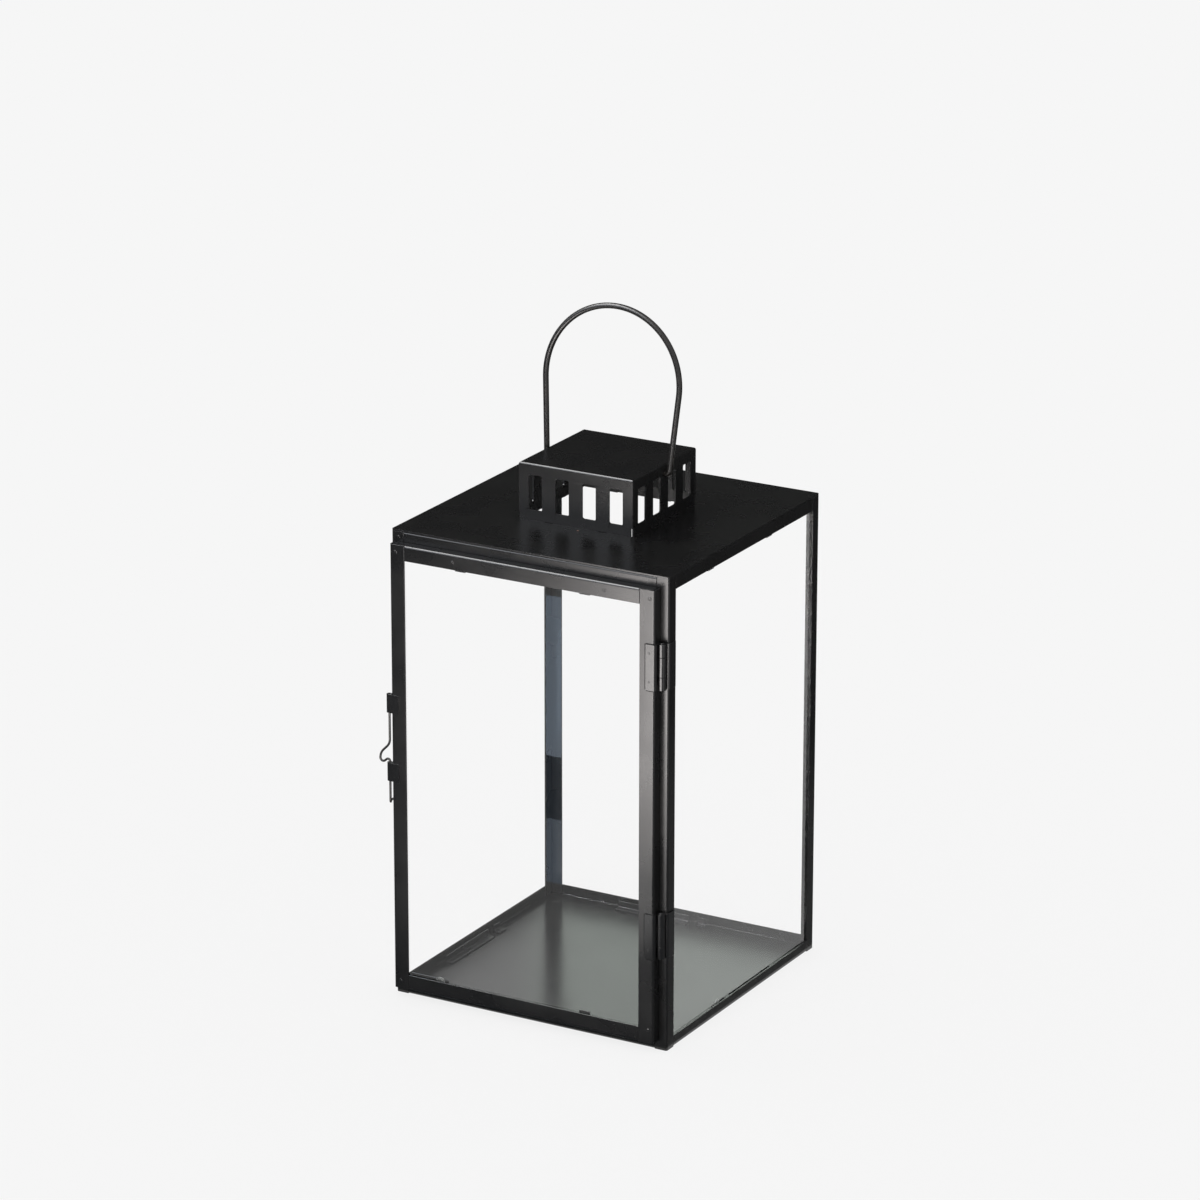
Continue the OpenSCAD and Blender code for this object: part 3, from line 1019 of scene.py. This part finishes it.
@dataclass
class Studio:
    """A pale room with a pale floor, soft light and the camera of the photograph."""

    pale: str = "#f6f6f6"
    floor_size: float = 60.0
    # The floor lies this far below the lantern's foot, so that the two don't flicker
    floor_gap_mm: float = 0.05
    # Share of the floor that shows its own light and shadow. The rest is evenly pale.
    floor_shaded: float = 0.1
    room_light: float = 1.0
    camera_at: tuple[float, float, float] = (1.308176, -2.314661, 1.096369)
    camera_turn_deg: tuple[float, float, float] = (71.444235, -0.051782, 29.574136)
    lens_mm: float = 164.2431
    sensor_mm: float = 36.0

    def seen_rays(self, tree: bpy.types.NodeTree) -> bpy.types.NodeSocket:
        """Tell the rays that see a surface from those that light it.

        Args:
            tree: the node tree that gets the nodes.

        Returns:
            A share that is 1 for camera, glossy and transmission rays, and 0 for the rest.
        """
        rays = add_node(tree, "LightPath").outputs
        direct = add_math(tree, "MAXIMUM", rays["Is Camera Ray"], rays["Is Glossy Ray"])
        return add_math(tree, "MAXIMUM", direct, rays["Is Transmission Ray"])

    def build_world(self) -> None:
        """Make the room's even light, which shows as a pale background."""
        world = bpy.data.worlds.new("pale_room")
        world.use_nodes = True
        tree = world.node_tree
        tree.nodes.clear()
        seen = add_node(
            tree, "Background", {"Color": linear_rgba(self.pale), "Strength": 1.0}
        ).outputs["Background"]
        light = add_node(
            tree, "Background", {"Color": (1, 1, 1, 1), "Strength": self.room_light}
        ).outputs["Background"]
        both = add_node(tree, "MixShader", {"Fac": self.seen_rays(tree), 1: light, 2: seen})
        finish_material(tree, both.outputs["Shader"])
        bpy.context.scene.world = world

    def build_floor(self) -> None:
        """Make the pale floor, which keeps a faint shadow of the lantern."""
        place = Matrix.Translation((0, 0, -self.floor_gap_mm * MM))
        floor = flat_object("floor", place, self.floor_size, self.floor_size)
        material, tree = new_material("pale_floor")
        shaded = add_node(
            tree, "BsdfDiffuse", {"Color": linear_rgba(self.pale)}
        ).outputs["BSDF"]
        even = add_node(
            tree, "Emission", {"Color": linear_rgba(self.pale), "Strength": 1.0}
        ).outputs["Emission"]
        share = add_math(tree, "MULTIPLY", self.seen_rays(tree), 1 - self.floor_shaded)
        both = add_node(tree, "MixShader", {"Fac": share, 1: shaded, 2: even})
        finish_material(tree, both.outputs["Shader"])
        floor.data.materials.append(material)

    def build_cards(self) -> None:
        """Set up the cards that give the paint and the panes something to mirror."""
        cards = [
            # Bright, high on the left: the folds, the wires and a sheen on the front
            StudioCard(
                "key_softbox",
                centre=(-0.42, -0.62, 0.66),
                looks_at=(0, 0, 0.15),
                size=(0.5, 0.5),
                strength=4.5,
                colour="#f2f6ff",
            ),
            StudioCard(
                "top_strip",
                centre=(-0.42, -0.32, 1.0),
                looks_at=(0, 0, 0.2),
                size=(0.8, 0.5),
                strength=14.0,
            ),
            # Bright, low in front: the sheen of the door's hinge side, which fades downwards
            StudioCard(
                "low_front_softbox",
                centre=(0.02, -0.42, 0.095),
                looks_at=(0.075, -0.08, 0.2),
                size=(0.3, 0.23),
                strength=10.5,
                colour="#fffaf8",
            ),
            # The floor in front, as the lower parts of the door mirror it
            StudioCard(
                "front_floor_glow",
                centre=(-0.07, -0.3, 0.002),
                looks_at=(-0.07, -0.3, 1),
                size=(0.14, 0.2),
                strength=1.8,
            ),
            StudioCard(
                "front_floor_flag",
                centre=(-0.9, -1.083, 0.001),
                looks_at=(-0.9, -1.083, 1),
                size=(2.6, 2.005),
                strength=0.12,
                colour="#e6f0fb",
            ),
            # Dim, behind: keeps the roof black
            StudioCard(
                "rear_flag",
                centre=(-0.083, 0.146, 0.49),
                looks_at=(0, 0, 0.49),
                size=(0.9, 0.48),
                strength=0.04,
            ),
            # Dim, on the right: keep the right side black
            StudioCard(
                "right_floor_flag",
                centre=(1.581, 1.61, 0.001),
                looks_at=(1.581, 1.61, 1),
                size=(3.0, 2.62),
                strength=0.04,
            ),
            StudioCard(
                "right_near_floor_flag",
                centre=(1.581, 0.11, 0.001),
                looks_at=(1.581, 0.11, 1),
                size=(3.0, 0.38),
                strength=0.14,
            ),
            StudioCard(
                "right_rear_flag",
                centre=(1.0, 1.2, 0.5),
                looks_at=(0.08, 0, 0.2),
                size=(1.6, 1.0),
                strength=0.05,
            ),
            # Dim, low behind the panes: the dark margins of the tray
            StudioCard(
                "low_back_flag",
                centre=(-0.03, 0.12, 0.0155),
                looks_at=(-0.03, 0, 0.0155),
                size=(0.22, 0.03),
                strength=0.05,
            ),
            StudioCard(
                "low_left_flag",
                centre=(-0.12, 0.085, 0.0215),
                looks_at=(0, 0.085, 0.0215),
                size=(0.21, 0.041),
                strength=0.05,
            ),
            # The pale patch low on the back left post, and the tray's sheen
            StudioCard(
                "post_glow",
                centre=(-0.12, -0.004, 0.0925),
                looks_at=(0, -0.004, 0.0925),
                size=(0.032, 0.065),
                strength=2.6,
                colour="#cbe4ff",
            ),
            StudioCard(
                "rear_glow",
                centre=(-0.105, 0.5, 0.19),
                looks_at=(0, 0, 0),
                size=(0.41, 0.2),
                strength=1.45,
                colour="#f4fff6",
            ),
            # Dim, far in front: keeps the rest of the front black
            StudioCard(
                "far_front_flag",
                centre=(-0.75, -1.3, 0.25),
                looks_at=(0, 0, 0.25),
                size=(2.4, 0.9),
                strength=0.04,
                colour="#dce8ff",
            ),
        ]
        # One narrow upright strip in three parts, each with its lowest and highest point
        strip_x, strip_y, strip_width = -0.0778, -0.2492, 0.0096
        for name, low, high, strength in (
            ("window_in_pane", 0.079, 0.17, 2.8),
            ("sill_in_pane", 0.043, 0.079, 0.5),
            ("paper_in_pane", 0.006, 0.043, 1.6),
        ):
            middle = (low + high) / 2
            cards.append(
                StudioCard(
                    name,
                    centre=(strip_x, strip_y, middle),
                    looks_at=(strip_x, 0, middle),
                    size=(strip_width, high - low),
                    strength=strength,
                    colour="#daebff",
                    shows=Mirror.GLASS,
                )
            )
        for card in cards:
            card.build()

    def build_camera(self) -> None:
        """Place the camera where the photograph was taken from."""
        data = bpy.data.cameras.new("photo_camera")
        data.lens = self.lens_mm
        data.sensor_width = self.sensor_mm
        data.clip_end = 100.0
        camera = bpy.data.objects.new("photo_camera", data)
        camera.location = self.camera_at
        camera.rotation_euler = [math.radians(angle) for angle in self.camera_turn_deg]
        bpy.context.scene.collection.objects.link(camera)
        bpy.context.scene.camera = camera

    def build(self) -> None:
        """Build the whole studio."""
        self.build_camera()
        self.build_world()
        self.build_floor()
        self.build_cards()
        bpy.context.scene.view_settings.view_transform = "Standard"


def main() -> None:
    """Load the frame, dress the lantern and set the stage."""
    logging.basicConfig(level=logging.INFO, format="%(name)s: %(message)s")
    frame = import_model()
    Studio().build()
    Lantern(frame["nodes"]).build()


if __name__ == "__main__":
    main()
